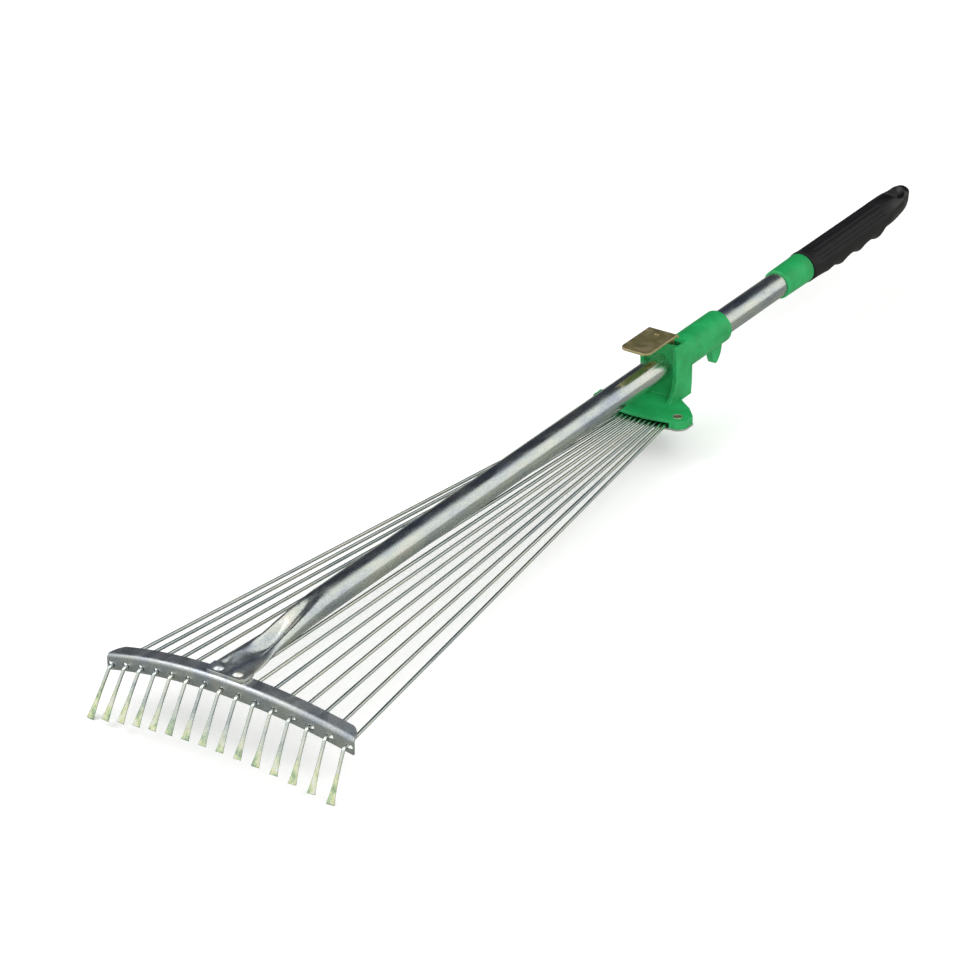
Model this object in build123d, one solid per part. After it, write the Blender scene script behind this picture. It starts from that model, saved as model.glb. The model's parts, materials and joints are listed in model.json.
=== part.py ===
from build123d import *
import math
import os

# Expanding leaf rake on a telescopic handle, in millimetres.
# Everything is drawn with the handle's axis along Y: the head bar is at y = 0, the grip at
# large y, +Z is up and the tine tips point down. The finished pieces are then moved together
# so that the origin is on the ground, under the middle of the rake.

# Clearances
RUN = 0.05          # radial, a piece that turns or slides on a round one
LOOSE = 0.4         # between pieces that pass without touching

# Main tube
TUBE_R = 11.0
TUBE_WALL = 1.2
TUBE_REAR = 815.0
ROUND_FROM = 130.0  # the pressed front end is fully round from here
BORE_FROM = 137.0
CRIMP_Y = TUBE_REAR - 67.0
CRIMP_DEPTH = 0.45
CRIMP_WIDTH = 2.6

# Flat tab at the main tube's front end
TAB_FRONT = 1.4
TAB_REAR = 15.0
TAB_HALF = 17.4
TAB_CORNER = 3.0

# Row of tines across the head
TINES = 15
HALF_COUNT = TINES // 2
HOLE_PITCH = 15.0

# Head bar: a strip bent to an L, arched across X and bowed forward in plan
BAR_HALF = HALF_COUNT * HOLE_PITCH + 6.0
BAR_TOP = -5.8
BAR_ARCH_R = 359.0
BAR_BOW_R = 860.0
BAR_DEPTH = 13.8
BAR_FLANGE = 13.3
BAR_T = 2.0
BAR_CORNER = 13.0
BAR_FOLD_R = 3.6    # outside of the fold
HOLE_DROP = 9.3     # from the bar's top face to the tine holes
HOLE_GAP = 0.65     # around the wire

# Rivets through the tab and the bar
RIVET_X = (-8.6, 8.6)
RIVET_Y = 8.0
RIVET_R = 2.4
RIVET_HEAD_R = 4.3
RIVET_HEAD_H = 2.0

# Tines
WIRE_R = 1.4
ROOT_PITCH = 3.8
ROOT_Y = (588.0, 585.0)   # two rows of pegs, taken in turn
ROOT_Z = -30.2
PEG_TOP = -26.3
BEND_AHEAD = 3.4    # from the flange's front face to the corner of the bend
BEND_R = 3.2
LEG_REACH = 21.8
LEG_DROP = 34.4
FLAT_FROM = 0.42    # share of the leg that is still round
TIP_HALF = 3.5
TIP_T = 1.1

# Slider travel along the tube, towards the head
TRAVEL = 200.0

# Slider body
SLEEVE_R = 14.4
SLEEVE_REAR = 697.0
SLEEVE_CHAMFER = 2.4
YOKE_HALF = 17.6
YOKE_TOP = 22.0
YOKE_FRONT = 599.0
YOKE_REAR = 624.5
CHEEK_T = 3.6
YOKE_WALL_FRONT = 602.8
CHAMBER_FRONT = 605.0
CHAMBER_REAR = 621.5
CHAMBER_HALF = 15.2
CHAMBER_TOP = 17.0
CHAMBER_FLOOR = -20.6
SLOT_REAR = 612.0
BASE_TOP = -25.0
BASE_PLATE = 2.8
BASE_FRONT_PLATE = 2.4
BASE_FRONT = 559.5
BASE_FRONT_R = 111.0  # the front edge bows forward
BASE_CORNER = 9.6
BASE_SKIRT = ROOT_Z - WIRE_R - 2 * RUN - LOOSE
BASE_REAR = 609.0
POCKET_MOUTH = 571.0
HOOK_HALF = 3.0

# Cover plate under the slider, and the two eyelets that hold it
COVER_T = 1.2
EYELET_X = 35.3
EYELET_Y = 574.0
EYELET_R = 3.5
EYELET_BORE = 3.0
EYELET_RIM = 4.3
EYELET_RIM_T = 0.6

# Lock plate
PLATE_T = 1.9
PLATE_TOP = 30.8
PLATE_HALF = 13.6
PLATE_FRONT = 560.5
PLATE_CORNER = 6.0
PLATE_BEND_R = 3.4
PLATE_HOLE = (-0.5, 597.0, 3.8, 2.8)  # x, y, width and length
LEG_Y = 607.6
LEG_NECK_HALF = 9.5
LEG_SHOULDER = 15.0
LEG_HALF = 14.2
LEG_FOOT = -19.6

# Lock spring
SPRING_WIRE_R = 0.6
SPRING_R = 12.8
SPRING_TURNS = 4

# Upper tube, its guide plug, collet and twist collar
UPPER_R = 9.0
UPPER_WALL = 1.0
UPPER_FRONT = 168.0
UPPER_REAR = TUBE_REAR + 169.0
PLUG_HEAD = 18.0
PLUG_SPIGOT = 24.0
COLLET_R = 11.8
COLLET_TIP_R = 10.7
COLLET_SPIGOT = 15.0
COLLET_RING = 4.0
COLLET_REAR = TUBE_REAR + 15.0
COLLET_SLITS = 4
COLLET_SLIT = 1.4
COLLAR_FRONT = TUBE_REAR - 21.0
COLLAR_REAR = TUBE_REAR + 21.0
COLLAR_R = (12.9, 13.5)
COLLAR_WALL = 3.6

# Grip
GRIP_FRONT = COLLAR_REAR + 1.0
GRIP_END = GRIP_FRONT + 185.0
GRIP_R = 14.1
GRIP_LIP = 4.0
GRIP_KEEL = 22.0
FINGER_PITCH = 31.5
FINGER_FIRST = GRIP_FRONT + 37.0
FINGER_R = 19.0
FLUTE_R = 1.5
HANG_R = 3.2
HANG_Y = GRIP_END - 19.0


def along_y(radius, y_from, y_to, x=0.0, z=0.0):
    """Solid rod parallel to the handle."""
    rod = Cylinder(radius, y_to - y_from, rotation=(90, 0, 0))
    return Pos(x, (y_from + y_to) / 2, z) * rod


def upright(radius, x, y, z_from, z_to):
    """Solid rod standing along Z."""
    return Pos(x, y, (z_from + z_to) / 2) * Cylinder(radius, z_to - z_from)


def block(x0, x1, y0, y1, z0, z1):
    """Box between two corners."""
    box = Box(x1 - x0, y1 - y0, z1 - z0)
    return Pos((x0 + x1) / 2, (y0 + y1) / 2, (z0 + z1) / 2) * box


def slab(points, x0, x1):
    """Side outline in (y, z), extruded from x0 to x1."""
    face = make_face(Polyline(*[(x0, y, z) for y, z in points], close=True))
    return extrude(face, x1 - x0, dir=(1, 0, 0))


def plate(points, z0, z1):
    """Plan outline in (x, y), extruded from z0 to z1."""
    face = make_face(Polyline(*[(x, y, z0) for x, y in points], close=True))
    return extrude(face, z1 - z0, dir=(0, 0, 1))


def ease(t):
    """Smooth step from 0 to 1."""
    t = min(max(t, 0.0), 1.0)
    return t * t * (3 - 2 * t)


def blend(a, b, t):
    return a + (b - a) * t


# --- Head bar -------------------------------------------------------------------------------

def bar_top_z(x):
    return BAR_TOP - BAR_ARCH_R + math.sqrt(BAR_ARCH_R**2 - x * x)


def bar_bow_y(x):
    return BAR_BOW_R - math.sqrt(BAR_BOW_R**2 - x * x)


def arched(drop):
    """Everything under the bar's arch, lowered by drop."""
    deep = Cylinder(BAR_ARCH_R, 4 * BAR_DEPTH, rotation=(90, 0, 0))
    return Pos(0, 0, BAR_TOP - BAR_ARCH_R - drop) * deep


def bowed(shift):
    """Everything behind the bar's front line, moved back by shift."""
    tall = Cylinder(BAR_BOW_R, 8 * BAR_FLANGE)
    return Pos(0, BAR_BOW_R - BAR_T / 2 + shift, 0) * tall


def fan(i):
    """Root, hole centre, and the vector between them, of tine i (0 is the middle one)."""
    hole_x = i * HOLE_PITCH
    root = Vector(i * ROOT_PITCH, ROOT_Y[abs(i) % 2], ROOT_Z)
    hole = Vector(hole_x, bar_bow_y(hole_x), bar_top_z(hole_x) - HOLE_DROP)
    return root, hole, hole - root


def fan_spread(i):
    """Sideways offset that tine i covers, and its length along the handle."""
    run = fan(i)[2]
    return math.hypot(run.X, run.Z), -run.Y


def fan_turn(i):
    """Angle in radians that tine i turns over the slider's whole travel."""
    offset, length = fan_spread(i)
    return math.atan2(offset, length - TRAVEL) - math.atan2(offset, length)


def fan_drift(i):
    """Most that the wire leaves its hole's centre when it turns in step with the slider."""
    offset, length = fan_spread(i)
    start = math.atan2(offset, length)
    steps = [n / 20 for n in range(21)]
    return max((length - TRAVEL * s) * math.tan(start + fan_turn(i) * s) for s in steps) - offset


def tine_hole(i):
    """Cutter for the hole of tine i, stretched by the wire's drift."""
    hole, run = fan(i)[1:]
    reach = fan_drift(i)
    radius = WIRE_R + HOLE_GAP
    tilt = -math.degrees(math.atan2(run.Z, run.X))
    cutter = Cylinder(radius, 6 * BAR_T, rotation=(90, 0, 0))
    cutter += Pos(reach, 0, 0) * Cylinder(radius, 6 * BAR_T, rotation=(90, 0, 0))
    cutter += Pos(reach / 2, 0, 0) * Box(reach, 6 * BAR_T, 2 * radius)
    return Pos(hole.X, hole.Y, hole.Z) * Rot(0, tilt, 0) * cutter


def head_bar():
    length = block(-BAR_HALF, BAR_HALF, -50, 50, -80, 40)
    top = (arched(0) - arched(BAR_T)) & (bowed(0) - bowed(BAR_DEPTH)) & length
    flange = (arched(0) - arched(BAR_FLANGE)) & (bowed(0) - bowed(BAR_T)) & length
    bar = top + flange
    fold = [e for e in bar.edges() if abs(e.length - 2 * BAR_HALF) < 8]
    fold = ShapeList(fold).sort_by(lambda e: e.center().Y - e.center().Z)[0]
    bar = fillet(fold, BAR_FOLD_R)
    round_x = BAR_HALF - BAR_CORNER
    round_y = bar_bow_y(BAR_HALF) - BAR_T / 2 + BAR_DEPTH - BAR_CORNER
    for side in (-1, 1):
        corner = Pos(side * (round_x + BAR_CORNER), round_y + BAR_CORNER, 0)
        corner *= Box(2 * BAR_CORNER, 2 * BAR_CORNER, 200)
        bar -= corner - upright(BAR_CORNER, side * round_x, round_y, -200, 200)
    for i in range(-HALF_COUNT, HALF_COUNT + 1):
        bar -= tine_hole(i)
    for x in RIVET_X:
        bar -= upright(RIVET_R, x, RIVET_Y, BAR_TOP - 3 * BAR_T, BAR_TOP + BAR_T)
    return bar


# --- Rivets through the tab and the bar -------------------------------------------------------

def dome(radius, height):
    """Round head, flat side down."""
    ball_r = (radius**2 + height**2) / (2 * height)
    ball = Pos(0, 0, height - ball_r) * Sphere(ball_r)
    return ball & Pos(0, 0, height / 2) * Box(4 * radius, 4 * radius, height)


def tab_rivets():
    tab_top = BAR_TOP + 2 * TUBE_WALL
    rivets = []
    for x in RIVET_X:
        foot_z = bar_top_z(abs(x) + RIVET_HEAD_R) - BAR_T
        head = Pos(x, RIVET_Y, tab_top) * dome(RIVET_HEAD_R, RIVET_HEAD_H)
        shank = upright(RIVET_R, x, RIVET_Y, foot_z, tab_top)
        foot = Pos(x, RIVET_Y, foot_z) * Rot(180, 0, 0) * dome(RIVET_HEAD_R, RIVET_HEAD_H / 2)
        rivets.append(head + shank + foot)
    return Compound(rivets)


# --- Main tube with its pressed front end -----------------------------------------------------

def pressed_section(y):
    """Outline of the pressed tube at y: flat and wide in front, round behind."""
    t = (y - TAB_REAR) / (ROUND_FROM - TAB_REAR)
    flare = 1 - ease(t / 0.42)
    half = blend(TUBE_R, TAB_HALF, flare)
    low = blend(-TUBE_R, BAR_TOP, flare)
    waist = blend(0.0, BAR_TOP + TUBE_WALL, 1 - ease(t))
    rim = blend(TUBE_R, BAR_TOP + 2 * TUBE_WALL, 1 - ease(t / 0.95))
    floor = blend(low + 2 * TUBE_WALL, TUBE_R, ease((t - 0.3) / 0.7))
    power = 1 + 0.6 * flare
    points = []
    for n in range(36):
        angle = math.radians(10 * n)
        c, s = math.cos(angle), math.sin(angle)
        x = half * math.copysign(abs(c) ** (1 / power), c)
        if s < 0:
            z = waist - (waist - low) * abs(s) ** (1 / power)
        else:
            z = waist + (rim - waist) * s ** (1 / power)
            reach = abs(x) / (0.8 * half)
            if reach < 1:
                z -= (rim - floor) * math.cos(reach * math.pi / 2) ** 2
        points.append((x, y, z))
    return make_face(Spline(*points, periodic=True))


def main_tube():
    shares = (0.0, 0.12, 0.24, 0.37, 0.5, 0.64, 0.78, 0.9, 1.0)
    stations = [blend(TAB_REAR, ROUND_FROM, s) for s in shares]
    end = Plane(origin=(0, ROUND_FROM, 0), x_dir=(1, 0, 0), z_dir=(0, -1, 0)) * Circle(TUBE_R)
    pressed = loft([pressed_section(y) for y in stations[:-1]] + [end])
    round_part = along_y(TUBE_R, ROUND_FROM, TUBE_REAR)
    tab = block(-TAB_HALF, TAB_HALF, TAB_FRONT, TAB_REAR, BAR_TOP, BAR_TOP + 2 * TUBE_WALL)
    tab = chamfer(tab.edges().filter_by(Axis.Z).group_by(Axis.Y)[0], TAB_CORNER)
    tube = round_part + pressed + tab
    tube -= along_y(TUBE_R - TUBE_WALL, BORE_FROM, TUBE_REAR + 1)
    groove = Torus(TUBE_R + CRIMP_WIDTH / 2 - CRIMP_DEPTH, CRIMP_WIDTH / 2, rotation=(90, 0, 0))
    tube -= Pos(0, CRIMP_Y, 0) * groove
    for x in RIVET_X:
        tube -= upright(RIVET_R, x, RIVET_Y, BAR_TOP - 1, BAR_TOP + 4 * TUBE_WALL)
    return tube


# --- Tines --------------------------------------------------------------------------------------

def flat_section(plane, half, thick, power):
    """Closed outline across a tine's leg, of a flat blade with rounded edges."""
    points = []
    for n in range(24):
        angle = math.radians(15 * n)
        c, s = math.cos(angle), math.sin(angle)
        x = half * math.copysign(abs(c) ** (1 / power), c)
        y = thick / 2 * math.copysign(abs(s) ** (1 / power), s)
        points.append(plane.from_local_coords((x, y, 0)))
    return make_face(Spline(*points, periodic=True))


def tine(i):
    """One wire: peg, long straight run, bend in front of the bar, and flattened leg."""
    root, hole, run = fan(i)
    level = math.hypot(run.X, run.Y)
    ahead = level + BAR_T / 2 + BEND_AHEAD
    corner = Vector(0, -ahead, run.Z * ahead / level)
    leg = Vector(0, -LEG_REACH, -LEG_DROP)
    flat = corner + leg * FLAT_FROM
    path = FilletPolyline((0, 0, 0), corner, flat, radius=BEND_R)
    profile = Plane(origin=(0, 0, 0), z_dir=path % 0) * Circle(WIRE_R)
    wire = sweep(profile, path=path)
    across = [
        Plane(origin=corner + leg * blend(FLAT_FROM, 1.0, share), x_dir=(1, 0, 0), z_dir=leg)
        for share in (0.0, 0.5, 1.0)
    ]
    half_mid = blend(WIRE_R, TIP_HALF, 0.36)
    thick_mid = blend(2 * WIRE_R, TIP_T, 0.6)
    sections = [
        across[0] * Circle(WIRE_R),
        flat_section(across[1], half_mid, thick_mid, 1.3),
        flat_section(across[2], TIP_HALF, TIP_T, 1.8),
    ]
    blade = loft(sections)
    peg = upright(WIRE_R + RUN, 0, 0, -WIRE_R - 2 * RUN, PEG_TOP - ROOT_Z)
    yaw = math.degrees(math.atan2(run.X, -run.Y))
    local = wire + blade + peg
    return Pos(root.X, root.Y, root.Z) * Rot(0, 0, yaw) * local


# --- Slider -------------------------------------------------------------------------------------

def base_outline(grow=0.0):
    """Plan outline of the slider's foot: bowed front edge, round corners, straight sides."""
    right = []
    for n in range(7):
        x = EYELET_X * n / 6
        right.append((x, BASE_FRONT - grow + x * x / (2 * BASE_FRONT_R)))
    radius = BASE_CORNER + grow
    for degrees in range(-75, 16, 15):
        angle = math.radians(degrees)
        point = (EYELET_X + radius * math.cos(angle), EYELET_Y + radius * math.sin(angle))
        right.append(point)
    right.append((EYELET_X + radius, EYELET_Y + 8))
    right.append((2 * YOKE_HALF, YOKE_FRONT - 6 + grow))
    right.append((YOKE_HALF + 5, YOKE_FRONT + 3 + grow))
    right.append((YOKE_HALF, BASE_REAR + grow))
    return right + [(-x, y) for x, y in reversed(right[1:])]


def pocket_half(y):
    """Half width of the wire pocket: the outermost wire when the slider is at its front end."""
    spread = HALF_COUNT * (HOLE_PITCH - ROOT_PITCH)
    slope = spread / (ROOT_Y[1] - TRAVEL - bar_bow_y(HALF_COUNT * HOLE_PITCH))
    return HALF_COUNT * ROOT_PITCH + WIRE_R + LOOSE + slope * (ROOT_Y[1] - y)


def pocket_plan(y_front, y_back, z_from, z_to):
    front, back = pocket_half(y_front), pocket_half(y_back)
    outline = [(-back, y_back), (back, y_back), (front, y_front), (-front, y_front)]
    return plate(outline, z_from, z_to)


def wire_pocket():
    """Space under the foot where the wire roots lie, open to the front."""
    floor = BASE_TOP - BASE_PLATE
    mouth = BASE_TOP - BASE_FRONT_PLATE
    back = ROOT_Y[0] + WIRE_R + 2 * LOOSE
    front = BASE_FRONT - 10
    pocket = pocket_plan(front, ROOT_Y[1], BASE_SKIRT - 2, floor)
    half = HALF_COUNT * ROOT_PITCH + WIRE_R + LOOSE
    pocket += block(-half, half, ROOT_Y[1] - 1, back, BASE_SKIRT - 2, floor)
    pocket += pocket_plan(front, POCKET_MOUTH, floor - 1, mouth)
    for i in range(-HALF_COUNT, HALF_COUNT + 1):
        root = fan(i)[0]
        pocket += upright(WIRE_R + LOOSE, root.X, root.Y, floor - 1, PEG_TOP + LOOSE)
    return pocket


def slider_body():
    sleeve = along_y(SLEEVE_R, YOKE_FRONT + 5, SLEEVE_REAR)
    sleeve = chamfer(sleeve.edges().group_by(Axis.Y)[-1], SLEEVE_CHAMFER)
    side = [
        (YOKE_FRONT, YOKE_TOP), (YOKE_REAR - 7, YOKE_TOP), (YOKE_REAR + 8, SLEEVE_R - 2),
        (YOKE_REAR + 1, -4), (YOKE_REAR + 1, -18), (YOKE_REAR, -29), (BASE_REAR, -29),
        (YOKE_FRONT - 8.5, BASE_TOP), (YOKE_FRONT - 5, -22), (YOKE_FRONT - 1, -16),
        (YOKE_FRONT + 1.2, -8), (YOKE_FRONT + 1.5, 2),
    ]
    yoke = slab(side, -YOKE_HALF, YOKE_HALF)
    edges = yoke.edges().filter_by(Axis.Y).group_by(Axis.Z)[-1]
    yoke = fillet(edges, 3.0)
    inner = YOKE_HALF - CHEEK_T
    yoke -= block(-inner, inner, YOKE_FRONT - 20, YOKE_WALL_FRONT, BASE_TOP, YOKE_TOP + 1)
    foot = plate(base_outline(), BASE_SKIRT, BASE_TOP)
    body = sleeve + yoke + foot
    hook = slab(
        [
            (SLEEVE_REAR - 15, -12), (SLEEVE_REAR + 1.5, -12), (SLEEVE_REAR + 1.5, -18),
            (SLEEVE_REAR - 0.5, -25), (SLEEVE_REAR - 4.5, -30), (SLEEVE_REAR - 7.5, -31.4),
            (SLEEVE_REAR - 10.5, -30), (SLEEVE_REAR - 13, -25), (SLEEVE_REAR - 14.5, -18),
        ],
        -HOOK_HALF, HOOK_HALF,
    )
    body += hook
    body -= wire_pocket()
    body -= block(
        -CHAMBER_HALF, CHAMBER_HALF, CHAMBER_FRONT, CHAMBER_REAR, CHAMBER_FLOOR, CHAMBER_TOP
    )
    body -= block(-CHAMBER_HALF, CHAMBER_HALF, CHAMBER_FRONT, SLOT_REAR, 0, YOKE_TOP + 1)
    body -= along_y(TUBE_R + RUN, BASE_FRONT - 10, SLEEVE_REAR + 1)
    for side_x in (-EYELET_X, EYELET_X):
        body -= upright(EYELET_R, side_x, EYELET_Y, BASE_SKIRT - 1, BASE_TOP + 1)
    return body


def slider_cover():
    cover = plate(base_outline(0.6), BASE_SKIRT - COVER_T, BASE_SKIRT)
    for side_x in (-EYELET_X, EYELET_X):
        cover -= upright(EYELET_R, side_x, EYELET_Y, BASE_SKIRT - 5, BASE_SKIRT + 1)
    return cover


def cover_eyelets():
    low = BASE_SKIRT - COVER_T
    eyelets = []
    for x in (-EYELET_X, EYELET_X):
        eyelet = upright(EYELET_R, x, EYELET_Y, low, BASE_TOP)
        eyelet += upright(EYELET_RIM, x, EYELET_Y, BASE_TOP, BASE_TOP + EYELET_RIM_T)
        eyelet += upright(EYELET_RIM, x, EYELET_Y, low - EYELET_RIM_T, low)
        eyelet -= upright(EYELET_BORE, x, EYELET_Y, low - 3, BASE_TOP + 3)
        eyelets.append(eyelet)
    return Compound(eyelets)


def lock_plate():
    """Thumb tab with rounded front corners, bent down behind into a leg round the tube."""
    bend_z = PLATE_TOP - PLATE_BEND_R
    leg_rear = LEG_Y + PLATE_T
    bend_y = leg_rear - PLATE_BEND_R
    tab = block(-PLATE_HALF, PLATE_HALF, PLATE_FRONT, bend_y, PLATE_TOP - PLATE_T, PLATE_TOP)
    tab = fillet(tab.edges().filter_by(Axis.Z).group_by(Axis.Y)[0], PLATE_CORNER)
    corner = Cylinder(PLATE_BEND_R, 2 * PLATE_HALF, rotation=(0, 90, 0))
    corner -= Cylinder(PLATE_BEND_R - PLATE_T, 2 * PLATE_HALF, rotation=(0, 90, 0))
    corner &= Pos(0, PLATE_BEND_R / 2, PLATE_BEND_R / 2) * Box(
        2 * PLATE_HALF, PLATE_BEND_R, PLATE_BEND_R
    )
    leg = block(-LEG_NECK_HALF, LEG_NECK_HALF, LEG_Y, leg_rear, LEG_SHOULDER, bend_z)
    leg += block(-LEG_HALF, LEG_HALF, LEG_Y, leg_rear, LEG_FOOT, LEG_SHOULDER)
    leg -= along_y(TUBE_R + LOOSE, LEG_Y - 2, leg_rear + 2)
    whole = tab + Pos(0, bend_y, bend_z) * corner + leg
    x, y, width, length = PLATE_HOLE
    return whole - Pos(x, y, PLATE_TOP) * Box(width, length, 4 * PLATE_T)


def lock_spring():
    """Compression spring round the tube, between the leg and the chamber's back wall."""
    front = LEG_Y + PLATE_T + LOOSE + SPRING_WIRE_R
    length = CHAMBER_REAR - LOOSE - SPRING_WIRE_R - front
    coil = Helix(pitch=length / SPRING_TURNS, height=length, radius=SPRING_R)
    start = Plane(origin=coil @ 0, z_dir=coil % 0)
    spring = sweep(start * Circle(SPRING_WIRE_R), path=coil, is_frenet=True)
    return Pos(0, front, 0) * Rot(-90, 0, 0) * spring


# --- Telescopic upper part --------------------------------------------------------------------

def upper_tube():
    tube = along_y(UPPER_R, UPPER_FRONT, UPPER_REAR)
    return tube - along_y(UPPER_R - UPPER_WALL, UPPER_FRONT - 1, UPPER_REAR + 1)


def guide_plug():
    """Nylon plug in the upper tube's lower end, running in the main tube."""
    head = along_y(TUBE_R - TUBE_WALL - RUN, UPPER_FRONT - PLUG_HEAD, UPPER_FRONT)
    head = chamfer(head.edges().group_by(Axis.Y)[0], 1.0)
    spigot = along_y(UPPER_R - UPPER_WALL, UPPER_FRONT, UPPER_FRONT + PLUG_SPIGOT)
    return head + spigot


def collet():
    """Split bush at the main tube's rear end, closed on the upper tube by the collar."""
    spigot = along_y(TUBE_R - TUBE_WALL, TUBE_REAR - COLLET_SPIGOT, TUBE_REAR)
    ring_rear = TUBE_REAR + COLLET_RING
    ring = along_y(COLLET_R, TUBE_REAR, ring_rear)
    finger_length = COLLET_REAR - ring_rear
    cone = Cone(COLLET_R, COLLET_TIP_R, finger_length, rotation=(-90, 0, 0))
    bush = spigot + ring + Pos(0, (ring_rear + COLLET_REAR) / 2, 0) * cone
    bush -= along_y(UPPER_R + RUN, TUBE_REAR - COLLET_SPIGOT - 1, COLLET_REAR + 1)
    for n in range(COLLET_SLITS):
        slit = block(-COLLET_SLIT / 2, COLLET_SLIT / 2, ring_rear, COLLET_REAR + 1, 5, 20)
        bush -= Rot(0, 360 / COLLET_SLITS * (n + 0.5), 0) * slit
    return bush


def lock_collar():
    """Twist collar: turns on the main tube and squeezes the collet."""
    length = COLLAR_REAR - COLLAR_FRONT
    collar = Pos(0, (COLLAR_FRONT + COLLAR_REAR) / 2, 0) * Cone(
        COLLAR_R[0], COLLAR_R[1], length, rotation=(-90, 0, 0)
    )
    collar = chamfer(collar.edges().group_by(Axis.Y)[0], 1.2)
    collar = fillet(collar.edges().group_by(Axis.Y)[-1], 0.8)
    collar -= along_y(TUBE_R + RUN, COLLAR_FRONT - 1, TUBE_REAR - LOOSE)
    collar -= along_y(COLLET_R + LOOSE, TUBE_REAR - 2 * LOOSE, COLLAR_REAR - COLLAR_WALL)
    collar -= along_y(UPPER_R + LOOSE, COLLAR_REAR - COLLAR_WALL - 1, COLLAR_REAR + 1)
    return collar


def grip_section(y, half, top, low):
    """Oval outline across the grip, with its own height above and below the axis."""
    points = []
    for n in range(24):
        angle = math.radians(15 * n)
        c, s = math.cos(angle), math.sin(angle)
        z = top * s if s > 0 else -low * abs(s) ** 0.85
        points.append((half * c, y, z))
    return make_face(Spline(*points, periodic=True))


def grip():
    """Moulded handgrip: finger notches below, flutes above, hang hole in the end."""
    shape = (
        (GRIP_FRONT + GRIP_LIP, GRIP_R, GRIP_R, GRIP_R),
        (GRIP_FRONT + 30, GRIP_R, GRIP_R, GRIP_R + 1),
        (GRIP_FRONT + 62, GRIP_R, GRIP_R, GRIP_KEEL),
        (GRIP_FRONT + 130, GRIP_R, GRIP_R, GRIP_KEEL),
        (GRIP_FRONT + 148, GRIP_R, GRIP_R, 17.5),
        (GRIP_FRONT + 165, GRIP_R, GRIP_R + 0.6, 15.5),
        (GRIP_FRONT + 178, GRIP_R - 2.2, GRIP_R, 9.0),
        (GRIP_END, 7.5, 10.5, 1.5),
    )
    body = loft([grip_section(*station) for station in shape], ruled=True)
    body += along_y(GRIP_R + 0.4, GRIP_FRONT, GRIP_FRONT + GRIP_LIP)
    for n in range(4):
        notch_y = FINGER_FIRST + FINGER_PITCH * (n + 0.5)
        notch = Cylinder(FINGER_R, 60, rotation=(0, 90, 0))
        body -= Pos(0, notch_y, -GRIP_KEEL + 5 - FINGER_R) * notch
    for angle in (-66, -44, -22, 0, 22, 44, 66):
        groove = along_y(FLUTE_R, GRIP_FRONT + 12, GRIP_FRONT + 130, z=GRIP_R + 0.6)
        groove += Pos(0, GRIP_FRONT + 12, GRIP_R + 0.6) * Sphere(FLUTE_R)
        groove += Pos(0, GRIP_FRONT + 130, GRIP_R + 0.6) * Sphere(FLUTE_R)
        body -= Rot(0, angle, 0) * groove
    body -= upright(HANG_R, 0, HANG_Y, -30, 30)
    dish = Pos(0, HANG_Y - 2, 19.5) * Sphere(13.0)
    body -= dish
    body -= along_y(UPPER_R, GRIP_FRONT - 1, UPPER_REAR)
    return body


def build():
    """All pieces by name, in the drawing frame."""
    pieces = {
        "head_bar": head_bar(),
        "tab_rivets": tab_rivets(),
        "main_tube": main_tube(),
        "slider_body": slider_body(),
        "slider_cover": slider_cover(),
        "cover_eyelets": cover_eyelets(),
        "lock_plate": lock_plate(),
        "lock_spring": lock_spring(),
        "upper_tube": upper_tube(),
        "guide_plug": guide_plug(),
        "collet": collet(),
        "lock_collar": lock_collar(),
        "grip": grip(),
    }
    for i in range(-HALF_COUNT, HALF_COUNT + 1):
        pieces[f"tine_{i + HALF_COUNT + 1:02d}"] = tine(i)
    return pieces


def ground_shift(pieces):
    """Move that puts the origin on the ground under the middle of the rake."""
    bounds = Compound([p for p in pieces.values()]).bounding_box()
    return Pos(0, -(bounds.min.Y + bounds.max.Y) / 2, -bounds.min.Z)


def export(pieces, shift):
    os.makedirs("parts", exist_ok=True)
    for name, piece in pieces.items():
        export_step(shift * piece, f"parts/{name}.step")


PIECES = build()
SHIFT = ground_shift(PIECES)
export(PIECES, SHIFT)
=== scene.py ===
import json
import math

import bmesh
import bpy
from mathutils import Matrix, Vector


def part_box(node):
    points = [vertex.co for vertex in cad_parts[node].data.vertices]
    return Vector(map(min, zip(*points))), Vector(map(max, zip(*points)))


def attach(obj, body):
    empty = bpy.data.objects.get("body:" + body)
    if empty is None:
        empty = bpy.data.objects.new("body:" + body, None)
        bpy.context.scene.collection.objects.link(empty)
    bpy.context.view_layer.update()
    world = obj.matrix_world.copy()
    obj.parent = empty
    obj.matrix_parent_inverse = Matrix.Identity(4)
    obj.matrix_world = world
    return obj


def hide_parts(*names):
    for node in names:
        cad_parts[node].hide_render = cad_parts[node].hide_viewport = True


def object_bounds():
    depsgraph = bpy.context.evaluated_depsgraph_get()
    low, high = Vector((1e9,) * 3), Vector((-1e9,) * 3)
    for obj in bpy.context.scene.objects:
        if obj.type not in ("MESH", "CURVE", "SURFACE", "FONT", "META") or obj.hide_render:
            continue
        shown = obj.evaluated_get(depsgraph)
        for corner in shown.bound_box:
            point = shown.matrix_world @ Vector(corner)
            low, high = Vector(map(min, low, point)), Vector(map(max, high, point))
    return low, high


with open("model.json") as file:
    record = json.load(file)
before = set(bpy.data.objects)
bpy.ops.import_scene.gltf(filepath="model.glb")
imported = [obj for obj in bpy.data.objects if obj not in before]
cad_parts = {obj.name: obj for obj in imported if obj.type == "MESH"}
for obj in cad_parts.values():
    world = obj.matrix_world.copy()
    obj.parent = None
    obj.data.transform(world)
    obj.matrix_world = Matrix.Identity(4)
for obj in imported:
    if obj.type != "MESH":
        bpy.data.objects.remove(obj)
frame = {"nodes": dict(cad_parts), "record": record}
CAD_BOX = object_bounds()
NODES = frame["nodes"]

MM = 0.001

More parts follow.
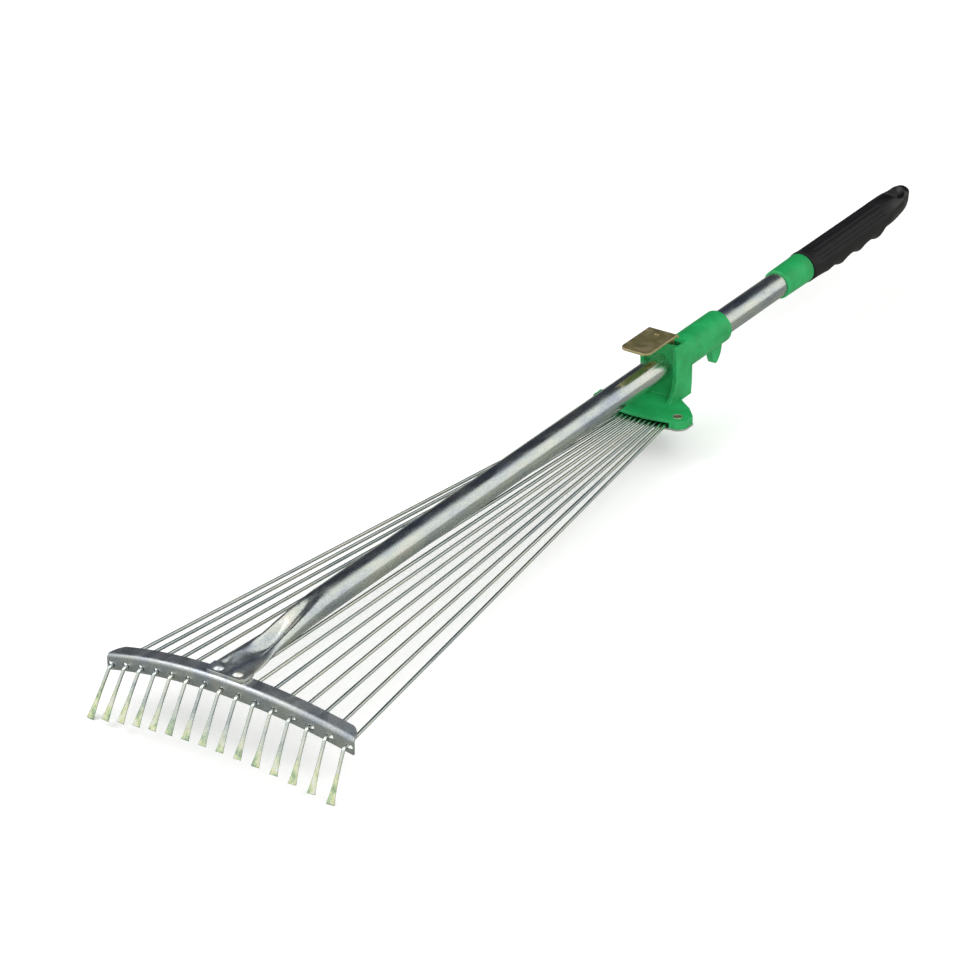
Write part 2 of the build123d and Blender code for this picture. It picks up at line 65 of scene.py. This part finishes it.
# Camera: which way it looks, in degrees, and how far it stands from the point it looks at
VIEW_AZIMUTH = 33.7
VIEW_ELEVATION = 27.5
VIEW_ROLL = -0.1
VIEW_DISTANCE = 3.2808
VIEW_LENS = 156.04
SENSOR_WIDTH = 36.0
VIEW_SIDE = -0.0036      # the point looked at, from the tube's axis
VIEW_ALONG = -0.1508     # and along the handle

# Stage
FLOOR_HALF = 9.0         # half the floor's side
FLOOR_GAP = 0.0002       # how far it lies under the rake
FLOOR_TINT = (0.94, 0.94, 0.935)
FLOOR_GLOW = 0.20
# Floor's tone as the metal mirrors it: a painted dark reflection on the metal
FLOOR_MIRRORED = (0.33, 0.34, 0.31)
DARK_SIDE = (-0.55, 0.74, 0.12)
# Room's tones, by the cosine of the angle from the dark side
ROOM_TONES = (
    (0.00, (0.88, 0.89, 0.88)),
    (0.44, (1.05, 1.05, 1.00)),
    (0.56, (0.70, 0.74, 0.76)),
    (0.66, (0.040, 0.045, 0.060)),
)
ROOM_STRENGTH = 1.0
# Lamps: name, direction they stand in, distance, width, height, watts
LAMPS = (
    ("key_right", (0.80, -0.25, 0.85), 2.4, 1.5, 1.5, 16),
    ("top_left", (-0.50, -0.46, 0.74), 2.4, 1.6, 1.6, 15),
)

# Sheens of the plated steel, from the bluest to the warmest
ZINC_TONES = ((0.42, 0.46, 0.56), (0.60, 0.65, 0.66), (0.70, 0.73, 0.66), (0.80, 0.76, 0.70))
WIRE_TONES = ((0.40, 0.46, 0.48), (0.60, 0.66, 0.64), (0.74, 0.77, 0.68), (0.84, 0.83, 0.76))
TIP_TONES = ((0.30, 0.40, 0.22), (0.52, 0.70, 0.40), (0.82, 0.82, 0.46), (0.86, 0.90, 0.78))
BAR_TONES = ((0.38, 0.42, 0.48), (0.45, 0.48, 0.51), (0.50, 0.52, 0.52), (0.56, 0.57, 0.55))
LOW_FROM = 0.014         # heights over the ground between which the tip tones fade in
LOW_TO = 0.034
SHEET_TONES = ((0.50, 0.52, 0.53), (0.62, 0.64, 0.63), (0.68, 0.69, 0.66), (0.74, 0.73, 0.70))
GOLD_TONES = ((0.50, 0.48, 0.20), (0.64, 0.56, 0.24), (0.74, 0.62, 0.34), (0.86, 0.66, 0.50))
RIM_TONES = ((0.60, 0.50, 0.38), (0.75, 0.66, 0.54), (0.88, 0.82, 0.74))


# --- Materials --------------------------------------------------------------------------------

class Shader:
    """One material, with short calls for the nodes it is made of."""

    def __init__(self, name):
        self.material = bpy.data.materials.new(name)
        self.material.use_nodes = True
        self.tree = self.material.node_tree
        self.tree.nodes.clear()
        self.surface = self.tree.nodes.new("ShaderNodeBsdfPrincipled")
        output = self.tree.nodes.new("ShaderNodeOutputMaterial")
        self.tree.links.new(self.surface.outputs[0], output.inputs[0])
        self.place = self.tree.nodes.new("ShaderNodeTexCoord").outputs["Object"]

    def feed(self, socket, value):
        if isinstance(value, bpy.types.NodeSocket):
            self.tree.links.new(value, socket)
        else:
            socket.default_value = value

    def set(self, **values):
        for name, value in values.items():
            self.feed(self.surface.inputs[name.replace("_", " ")], value)

    def math(self, operation, a, b=0.0, c=0.0, clamp=False):
        node = self.tree.nodes.new("ShaderNodeMath")
        node.operation = operation
        node.use_clamp = clamp
        for socket, value in zip(node.inputs, (a, b, c)):
            self.feed(socket, value)
        return node.outputs[0]

    def span(self, value, low, high, to_low=0.0, to_high=1.0):
        """Maps low..high to to_low..to_high, with smooth ends."""
        node = self.tree.nodes.new("ShaderNodeMapRange")
        node.interpolation_type = "SMOOTHSTEP"
        for name, number in (
            ("From Min", low), ("From Max", high), ("To Min", to_low), ("To Max", to_high),
        ):
            node.inputs[name].default_value = number
        self.feed(node.inputs["Value"], value)
        return node.outputs["Result"]

    def stretched(self, scale):
        node = self.tree.nodes.new("ShaderNodeMapping")
        self.feed(node.inputs["Vector"], self.place)
        node.inputs["Scale"].default_value = scale
        return node.outputs[0]

    def noise(self, size, detail=3.0, rough=0.55, stretch=(1, 1, 1)):
        """Noise whose blotches are about size metres across, from 0 to 1."""
        node = self.tree.nodes.new("ShaderNodeTexNoise")
        self.feed(node.inputs["Vector"], self.stretched(stretch))
        node.inputs["Scale"].default_value = 1.0 / size
        node.inputs["Detail"].default_value = detail
        node.inputs["Roughness"].default_value = rough
        return node.outputs["Fac"]

    def axis(self, name):
        node = self.tree.nodes.new("ShaderNodeSeparateXYZ")
        self.feed(node.inputs[0], self.place)
        return node.outputs[name]

    def ramp(self, factor, colours, low=0.3, high=0.7):
        node = self.tree.nodes.new("ShaderNodeValToRGB")
        stops = node.color_ramp.elements
        last = len(colours) - 1
        while len(stops) < len(colours):
            stops.new(0.5)
        for n, colour in enumerate(colours):
            stops[n].position = low + (high - low) * n / last
            stops[n].color = (*colour, 1.0)
        self.feed(node.inputs[0], factor)
        return node.outputs[0]

    def mix(self, factor, a, b, blend="MIX"):
        node = self.tree.nodes.new("ShaderNodeMix")
        node.data_type = "RGBA"
        node.blend_type = blend
        for socket, value in ((node.inputs[0], factor), (node.inputs[6], a), (node.inputs[7], b)):
            if isinstance(value, tuple):
                value = (*value, 1.0)
            self.feed(socket, value)
        return node.outputs[2]

    def rounded(self, radius):
        """Normal with the piece's sharp edges rounded."""
        node = self.tree.nodes.new("ShaderNodeBevel")
        node.samples = 6
        node.inputs["Radius"].default_value = radius
        return node.outputs[0]

    def painted_edge_mask(self, normal):
        """How far an edge is rounded here, from 0 on a face to 1 on a corner: the mask along
        which edge tones, such as painted highlights, are painted.
        """
        flat = self.tree.nodes.new("ShaderNodeNewGeometry").outputs["True Normal"]
        node = self.tree.nodes.new("ShaderNodeVectorMath")
        node.operation = "DOT_PRODUCT"
        self.feed(node.inputs[0], normal)
        self.feed(node.inputs[1], flat)
        return self.span(node.outputs["Value"], 0.995, 0.80)

    def bump(self, height, depth, normal=None, strength=1.0):
        node = self.tree.nodes.new("ShaderNodeBump")
        node.inputs["Distance"].default_value = depth
        node.inputs["Strength"].default_value = strength
        self.feed(node.inputs["Height"], height)
        if normal is not None:
            self.feed(node.inputs["Normal"], normal)
        return node.outputs[0]


def plated(
    name, tones, rough, edge=0.0004, grain=0.0011, drawn=0.25, painted_edge_tone=(0.9, 0.9, 0.88), low=(),
    dull_tab=False,
):
    """Zinc plated steel: patches of tint, fine spangle, drawing lines, and edges painted in their
    own tone, by default a painted highlight.

    low holds the tints of the part near the ground, where the passivation shows its colours.
    dull_tab makes the pressed front end over the bar less shiny than the drawn tube.
    """
    s = Shader(name)
    drawn_out = (1, drawn, 1)
    tint = s.ramp(s.noise(0.016, 4, 0.6, drawn_out), tones, 0.34, 0.68)
    if low:
        patches = s.ramp(s.noise(0.006, 3, 0.6, (1, 1, 0.4)), low, 0.36, 0.64)
        # Painted dark reflection along the edges of the flattened tips.
        patches = s.mix(s.painted_edge_mask(s.rounded(0.0012)), patches, (0.05, 0.055, 0.04))
        tint = s.mix(s.span(s.axis("Z"), LOW_TO, LOW_FROM), tint, patches)
    speckle = s.noise(grain, 3, 0.7, (1, 0.6, 1))
    tint = s.mix(s.span(speckle, 0.42, 0.68, 0.0, 0.35), tint, (0.86, 0.87, 0.84))
    tint = s.mix(s.span(speckle, 0.50, 0.28, 0.0, 0.35), tint, (0.28, 0.30, 0.32))
    normal = s.rounded(edge)
    # Painted highlight along the edges in the default pale tone; a dark edge tone paints a dark
    # reflection there instead.
    tint = s.mix(s.math("MULTIPLY", s.painted_edge_mask(normal), 0.6), tint, painted_edge_tone)
    lines = s.noise(0.0006, 2, 0.5, (1, 0.02, 1))
    height = s.math("MULTIPLY_ADD", speckle, 0.7, s.math("MULTIPLY", lines, 0.3))
    blotch = s.noise(0.007, 3, 0.6, drawn_out)
    sheen = s.span(s.math("MULTIPLY_ADD", speckle, 0.4, blotch), 0.35, 1.0, rough, rough + 0.18)
    if dull_tab:
        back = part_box("head_bar")[1].y
        pressed = s.span(s.axis("Y"), back + 0.045, back, 0.0, 0.16)
        sheen = s.math("ADD", sheen, pressed)
    s.set(
        Base_Color=tint,
        Metallic=1.0,
        Roughness=sheen,
        Normal=s.bump(height, 0.00003, normal, 0.5),
    )
    return s.material


def moulded_green():
    """Satin moulded plastic, with a fine skin, cloudy colour and a painted highlight along its
    edges.
    """
    s = Shader("green_plastic")
    cloud = s.noise(0.02, 4, 0.6)
    skin = s.noise(0.0005, 2, 0.5)
    tint = s.ramp(cloud, ((0.008, 0.26, 0.065), (0.012, 0.33, 0.088), (0.019, 0.39, 0.113)))
    normal = s.rounded(0.0011)
    painted_edge_mask = s.painted_edge_mask(normal)
    # Painted highlight: edges a paler green.
    tint = s.mix(s.math("MULTIPLY", painted_edge_mask, 0.45), tint, (0.10, 0.56, 0.26))
    tint = s.mix(s.span(s.noise(0.0015, 3, 0.6), 0.62, 0.75, 0.0, 0.25), tint, (0.06, 0.46, 0.20))
    s.set(
        Base_Color=tint,
        Roughness=s.span(cloud, 0.3, 0.7, 0.36, 0.48),
        Specular_IOR_Level=0.35,
        Normal=s.bump(skin, 0.00005, normal, 0.5),
    )
    return s.material


def moulded_black():
    """Satin black grip, glossier where the thumb rests at the end."""
    s = Shader("grip_rubber")
    low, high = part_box("grip")
    cloud = s.noise(0.012, 4, 0.6)
    skin = s.noise(0.0006, 3, 0.6)
    tint = s.ramp(cloud, ((0.004, 0.0035, 0.0045), (0.006, 0.005, 0.006), (0.009, 0.0075, 0.009)))
    end = s.span(s.axis("Y"), high.y - 0.052, high.y - 0.034)
    dull = s.math("MULTIPLY_ADD", s.span(skin, 0.3, 0.7), 0.12, 0.44)
    s.set(
        Base_Color=tint,
        Roughness=s.math("MULTIPLY_ADD", end, -0.34, dull),
        Specular_IOR_Level=0.28,
        Normal=s.bump(skin, 0.00006, s.rounded(0.0006), 0.5),
    )
    return s.material


def yellow_zinc():
    """Yellow passivated plate: olive gold with a pinkish painted highlight along its edges and
    fine scratches.
    """
    s = Shader("yellow_zinc")
    cloud = s.noise(0.012, 5, 0.65)
    scratch = s.noise(0.0005, 2, 0.5, (0.06, 1, 1))
    scratches = s.math("MULTIPLY", scratch, 0.4)
    tint = s.ramp(cloud, GOLD_TONES, 0.30, 0.74)
    normal = s.rounded(0.0005)
    # Painted highlight along the edges, pinkish.
    tint = s.mix(s.painted_edge_mask(normal), tint, (0.92, 0.74, 0.56))
    s.set(
        Base_Color=tint,
        Metallic=1.0,
        Roughness=s.span(s.math("ADD", cloud, scratches), 0.4, 1.0, 0.34, 0.50),
        Normal=s.bump(scratch, 0.00003, normal, 0.4),
    )
    return s.material


def nylon():
    """Off-white nylon for the parts inside the tubes."""
    s = Shader("nylon")
    cloud = s.noise(0.006, 3, 0.6)
    tint = s.ramp(cloud, ((0.58, 0.57, 0.52), (0.70, 0.69, 0.64), (0.78, 0.77, 0.73)))
    s.set(
        Base_Color=tint,
        Roughness=s.span(cloud, 0.3, 0.7, 0.35, 0.5),
        Normal=s.bump(s.noise(0.0008), 0.00004, s.rounded(0.0003), 0.4),
    )
    return s.material


def finish_nodes():
    """Gives each CAD node the material of its slot."""
    zinc = plated("zinc_plate", ZINC_TONES, 0.13, dull_tab=True)
    # The wire's dark edge tone is a painted dark reflection along its rounded edges.
    wire = plated(
        "zinc_wire", WIRE_TONES, 0.12, edge=0.0002, grain=0.0007, drawn=0.12,
        painted_edge_tone=(0.10, 0.11, 0.09), low=TIP_TONES,
    )
    bar = plated("bar_plate", BAR_TONES, 0.30)
    sheet = plated("cover_steel", SHEET_TONES, 0.26)
    rim = plated("eyelet_steel", RIM_TONES, 0.22, painted_edge_tone=(0.55, 0.40, 0.28))
    steel = plated("spring_steel", SHEET_TONES, 0.25, edge=0.0002)
    looks = {
        "zinc_plate": zinc,
        "zinc_wire": wire,
        "green_plastic": moulded_green(),
        "cover_steel": sheet,
        "eyelet_steel": rim,
        "yellow_zinc": yellow_zinc(),
        "spring_steel": steel,
        "nylon": nylon(),
        "grip_rubber": moulded_black(),
    }
    slots = {
        row["node"]: row["material_slot"] for row in frame["record"]["subparts"]
    }
    for name, node in NODES.items():
        if not node.material_slots:
            node.data.materials.append(None)
        for slot in node.material_slots:
            slot.material = bar if name == "head_bar" else looks[slots[name]]
    return looks


# --- Grip -------------------------------------------------------------------------------------

GRIP_R = 13.8 * MM
GRIP_LIP = 4.0 * MM
GRIP_BORE = 9.0 * MM
BORE_DEPTH = 147.0 * MM
KEEL = 18.5 * MM
SEGMENTS = 96
FINGER_FROM = 41.4 * MM       # first finger notch, from the grip's front end
FINGER_PITCH = 32.5 * MM
FINGER_R = 38.0 * MM
FINGER_DEPTH = 3.6 * MM
FLUTE_FROM = 10.0 * MM
FLUTE_TO = 131.0 * MM
FLUTE_ANGLES = (-66, -44, -22, 0, 22, 44, 66)
FLUTE_DEPTH = 1.3 * MM
FLUTE_HALF = 4.6              # half a flute's width, in degrees
HANG_FROM_END = 19.0 * MM
HANG_R = 3.2 * MM
DISH_R = 13.0 * MM
DISH_CENTRE = 18.4 * MM       # height of the dish's ball over the tube's axis
DISH_AHEAD = 2.0 * MM         # how far the dish lies in front of the hang hole
BORE_ROUND = 0.6 * MM         # rounding of the bore's mouth
LIP_RISE = 0.4 * MM           # how far the front lip stands over the grip
RING_STEP = 0.75 * MM
FINGER_COUNT = 3
FLUTE_FADE = 4.0 * MM
KEEL_FULLNESS = 0.85          # below 1 the keel is fuller than an ellipse
CROWN = 4.0 * MM              # least height of the top over the section's middle
END_ROUND = 3.0 * MM          # length over which the far end rounds off
END_TUCK = 0.65               # size of the last ring
END_LIFT = 6.0 * MM           # height the last rings shrink towards
CUTTER_LENGTH = 0.08

# Outline along the grip in mm: distance from its front, half width, height over and depth under
# the axis
GRIP_SHAPE = (
    (4.0, 13.8, 13.8, 13.8),
    (24.0, 13.8, 13.8, 15.0),
    (50.0, 13.8, 13.8, 18.5),
    (124.0, 13.8, 13.8, 18.5),
    (132.0, 13.8, 13.9, 12.8),
    (148.0, 13.4, 14.2, 11.6),
    (164.0, 12.2, 14.3, 7.5),
    (175.0, 9.8, 13.6, 1.5),
    (182.0, 6.8, 12.0, -3.0),
    (185.0, 4.2, 10.2, -5.0),
)


def smooth(t):
    t = min(max(t, 0.0), 1.0)
    return t * t * (3 - 2 * t)


def outline_at(along):
    """Half width, height above and depth below the axis, smoothly between the stations."""
    rows = [tuple(v * MM for v in row) for row in GRIP_SHAPE]
    if along <= rows[0][0]:
        return rows[0][1:]
    for n in range(len(rows) - 1):
        a, b = rows[n], rows[n + 1]
        if along <= b[0]:
            t = (along - a[0]) / (b[0] - a[0])
            before = rows[max(n - 1, 0)]
            after = rows[min(n + 2, len(rows) - 1)]
            found = []
            for k in (1, 2, 3):
                m0 = (b[k] - before[k]) / 2
                m1 = (after[k] - a[k]) / 2
                h = (2 * t**3 - 3 * t**2 + 1) * a[k] + (t**3 - 2 * t**2 + t) * m0
                h += (-2 * t**3 + 3 * t**2) * b[k] + (t**3 - t**2) * m1
                found.append(min(max(h, min(a[k], b[k])), max(a[k], b[k])))
            return tuple(found)
    return rows[-1][1:]


def finger_floor(along):
    """Lowest height the finger notches leave at this distance from the front."""
    floor = -1.0
    for n in range(FINGER_COUNT):
        off = along - FINGER_FROM - FINGER_PITCH * n
        if abs(off) < FINGER_R:
            top = -KEEL + FINGER_DEPTH - FINGER_R + math.sqrt(FINGER_R**2 - off**2)
            floor = max(floor, top)
    return floor


def grip_point(along, angle):
    """Point of the grip's skin: angle is in degrees from straight up, towards +X."""
    half, top, low = outline_at(along)
    low = min(low, -finger_floor(along))
    s, c = math.sin(math.radians(angle)), math.cos(math.radians(angle))
    x = half * s
    middle = max(0.0, CROWN - low)
    z = middle + ((top - middle) * c if c > 0 else -(low + middle) * abs(c) ** KEEL_FULLNESS)
    if c > 0:
        share = smooth((along - FLUTE_FROM) / FLUTE_FADE)
        share *= smooth((FLUTE_TO - along) / FLUTE_FADE)
        for centre in FLUTE_ANGLES:
            off = abs((angle + 180) % 360 - 180 - centre) / FLUTE_HALF
            if off < 1:
                cut = 1 - FLUTE_DEPTH * share * math.cos(off * math.pi / 2) ** 2 / half
                x, z = x * cut, z * cut
    return x, z


def dished(x, along, z, length):
    """Presses the thumb dish into the top of the grip's end."""
    off = math.hypot(x, along - (length - HANG_FROM_END - DISH_AHEAD))
    if off < DISH_R and z > 0:
        z = min(z, DISH_CENTRE - math.sqrt(DISH_R**2 - off**2))
    return z


def ring(mesh, front, axis, along, points):
    """One ring of corners, square to the handle."""
    return [mesh.verts.new((x, front + along, axis + z)) for x, z in points]


def circle(radius):
    steps = [2 * math.pi * n / SEGMENTS for n in range(SEGMENTS)]
    return [(radius * math.sin(a), radius * math.cos(a)) for a in steps]


def grip_rings(mesh, front, axis, length):
    """All rings, from the bottom of the bore, round the front lip, to the far end."""
    rings = []
    for along in (BORE_DEPTH, BORE_DEPTH * 0.5, BORE_ROUND):
        rings.append(ring(mesh, front, axis, along, circle(GRIP_BORE)))
    rings.append(ring(mesh, front, axis, 0.0, circle(GRIP_BORE + BORE_ROUND)))
    lip_r = GRIP_R + LIP_RISE
    for along, radius in (
        (0.0, lip_r - 1.0 * MM), (0.3 * MM, lip_r - 0.3 * MM), (1.0 * MM, lip_r),
        (GRIP_LIP - 0.8 * MM, lip_r), (GRIP_LIP - 0.2 * MM, lip_r - 0.3 * MM),
        (GRIP_LIP, GRIP_R - 0.2 * MM),
    ):
        rings.append(ring(mesh, front, axis, along, circle(radius)))
    count = int((length - GRIP_LIP) / RING_STEP)
    for n in range(1, count + 1):
        along = GRIP_LIP + (length - GRIP_LIP) * n / count
        tip = max(along - (length - END_ROUND), 0.0) / END_ROUND
        tuck = END_TUCK + (1 - END_TUCK) * math.sqrt(max(1 - tip**2, 0.0))
        centre = END_LIFT * (1 - tuck)
        points = []
        for k in range(SEGMENTS):
            x, z = grip_point(along, 360 * k / SEGMENTS)
            z = dished(x, along, z, length)
            points.append((x * tuck, z * tuck + centre))
        rings.append(ring(mesh, front, axis, along, points))
    return rings


def skinned(rings, mesh):
    """Joins each ring to the next and closes both ends."""
    for a, b in zip(rings, rings[1:]):
        for k in range(SEGMENTS):
            m = (k + 1) % SEGMENTS
            mesh.faces.new((a[k], a[m], b[m], b[k]))
    mesh.faces.new(rings[0][::-1])
    mesh.faces.new(rings[-1])
    bmesh.ops.recalc_face_normals(mesh, faces=mesh.faces)


def hang_hole(piece, x, y, axis):
    """Bores the hang hole down through the end of the grip."""
    cutter_mesh = bpy.data.meshes.new("bore")
    mesh = bmesh.new()
    bmesh.ops.create_cone(
        mesh, cap_ends=True, segments=48, radius1=HANG_R, radius2=HANG_R, depth=CUTTER_LENGTH
    )
    mesh.to_mesh(cutter_mesh)
    mesh.free()
    cutter = bpy.data.objects.new("bore", cutter_mesh)
    cutter.location = (x, y, axis)
    bpy.context.scene.collection.objects.link(cutter)
    cut = piece.modifiers.new("hole", "BOOLEAN")
    cut.object = cutter
    cut.operation = "DIFFERENCE"
    cut.solver = "EXACT"
    graph = bpy.context.evaluated_depsgraph_get()
    made = bpy.data.meshes.new_from_object(piece.evaluated_get(graph))
    piece.modifiers.clear()
    piece.data = made
    bpy.data.objects.remove(cutter)


def handgrip(material):
    """Moulded grip with three finger notches, standing in for the CAD grip."""
    low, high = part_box("grip")
    tube_low, tube_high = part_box("upper_tube")
    axis = (tube_low.z + tube_high.z) / 2
    length = high.y - low.y
    mesh = bmesh.new()
    skinned(grip_rings(mesh, low.y, axis, length), mesh)
    data = bpy.data.meshes.new("handgrip")
    mesh.to_mesh(data)
    mesh.free()
    piece = bpy.data.objects.new("handgrip", data)
    bpy.context.scene.collection.objects.link(piece)
    hang_hole(piece, 0.0, high.y - HANG_FROM_END, axis)
    for face in piece.data.polygons:
        face.use_smooth = True
    piece.data.materials.clear()
    piece.data.materials.append(material)
    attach(piece, "upper")
    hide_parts("grip")


# --- Stage ------------------------------------------------------------------------------------

def floor():
    """Pale matte floor, wide enough to fill the view; in the metal's reflections it shows darker,
    a painted dark reflection.
    """
    mesh = bmesh.new()
    bmesh.ops.create_grid(mesh, x_segments=2, y_segments=2, size=FLOOR_HALF)
    data = bpy.data.meshes.new("floor")
    mesh.to_mesh(data)
    mesh.free()
    piece = bpy.data.objects.new("floor", data)
    piece.location.z = CAD_BOX[0][2] - FLOOR_GAP
    bpy.context.scene.collection.objects.link(piece)
    s = Shader("floor")
    mirrored = s.tree.nodes.new("ShaderNodeLightPath").outputs["Is Glossy Ray"]
    # Painted dark reflection: glossy rays see the floor darker and without its glow.
    tint = s.mix(mirrored, FLOOR_TINT, FLOOR_MIRRORED)
    s.set(Base_Color=tint, Roughness=0.9, Specular_IOR_Level=0.0)
    s.set(Emission_Color=(1.0, 1.0, 1.0, 1.0))
    s.set(Emission_Strength=s.math("MULTIPLY_ADD", mirrored, -FLOOR_GLOW, FLOOR_GLOW))
    piece.data.materials.append(s.material)


def softbox(name, towards, distance, width, height, power):
    """Soft area light standing off in a direction and facing the middle of the rake."""
    lamp = bpy.data.lights.new(name, "AREA")
    lamp.shape = "RECTANGLE"
    lamp.size = width
    lamp.size_y = height
    lamp.energy = power
    piece = bpy.data.objects.new(name, lamp)
    way = Vector(towards).normalized()
    piece.location = way * distance
    piece.rotation_euler = way.to_track_quat("Z", "Y").to_euler()
    bpy.context.scene.collection.objects.link(piece)


def surroundings():
    """Even pale room, darker on the far left, so that bright metal has something to show."""
    world = bpy.data.worlds.new("room")
    world.use_nodes = True
    tree = world.node_tree
    tree.nodes.clear()
    output = tree.nodes.new("ShaderNodeOutputWorld")
    light = tree.nodes.new("ShaderNodeBackground")
    place = tree.nodes.new("ShaderNodeTexCoord")
    dot = tree.nodes.new("ShaderNodeVectorMath")
    dot.operation = "DOT_PRODUCT"
    dot.inputs[1].default_value = Vector(DARK_SIDE).normalized()
    ramp = tree.nodes.new("ShaderNodeValToRGB")
    stops = ramp.color_ramp.elements
    while len(stops) < len(ROOM_TONES):
        stops.new(0.5)
    for stop, (position, tone) in zip(stops, ROOM_TONES):
        stop.position = position
        stop.color = (*tone, 1.0)
    tree.links.new(place.outputs["Generated"], dot.inputs[0])
    tree.links.new(dot.outputs["Value"], ramp.inputs[0])
    tree.links.new(ramp.outputs[0], light.inputs[0])
    tree.links.new(light.outputs[0], output.inputs[0])
    light.inputs[1].default_value = ROOM_STRENGTH
    bpy.context.scene.world = world


def camera():
    """Camera on the rake's right front, looking down along the handle."""
    az, el = math.radians(VIEW_AZIMUTH), math.radians(VIEW_ELEVATION)
    tube_low, tube_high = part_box("upper_tube")
    target = Vector((VIEW_SIDE, VIEW_ALONG, (tube_low.z + tube_high.z) / 2))
    back = Vector((math.sin(az) * math.cos(el), -math.cos(az) * math.cos(el), math.sin(el)))
    lens = bpy.data.cameras.new("camera")
    lens.lens = VIEW_LENS
    lens.sensor_width = SENSOR_WIDTH
    piece = bpy.data.objects.new("camera", lens)
    piece.location = target + back * VIEW_DISTANCE
    turn = back.to_track_quat("Z", "Y").to_matrix()
    roll = math.radians(VIEW_ROLL)
    across = turn.col[0] * math.cos(roll) + turn.col[1] * math.sin(roll)
    turn.col[1] = back.cross(across)
    turn.col[0] = across
    piece.rotation_euler = turn.to_euler()
    bpy.context.scene.collection.objects.link(piece)
    bpy.context.scene.camera = piece


def stage():
    floor()
    surroundings()
    for lamp in LAMPS:
        softbox(*lamp)
    camera()
    bpy.context.scene.view_settings.view_transform = "Standard"


LOOKS = finish_nodes()
handgrip(LOOKS["grip_rubber"])
stage()
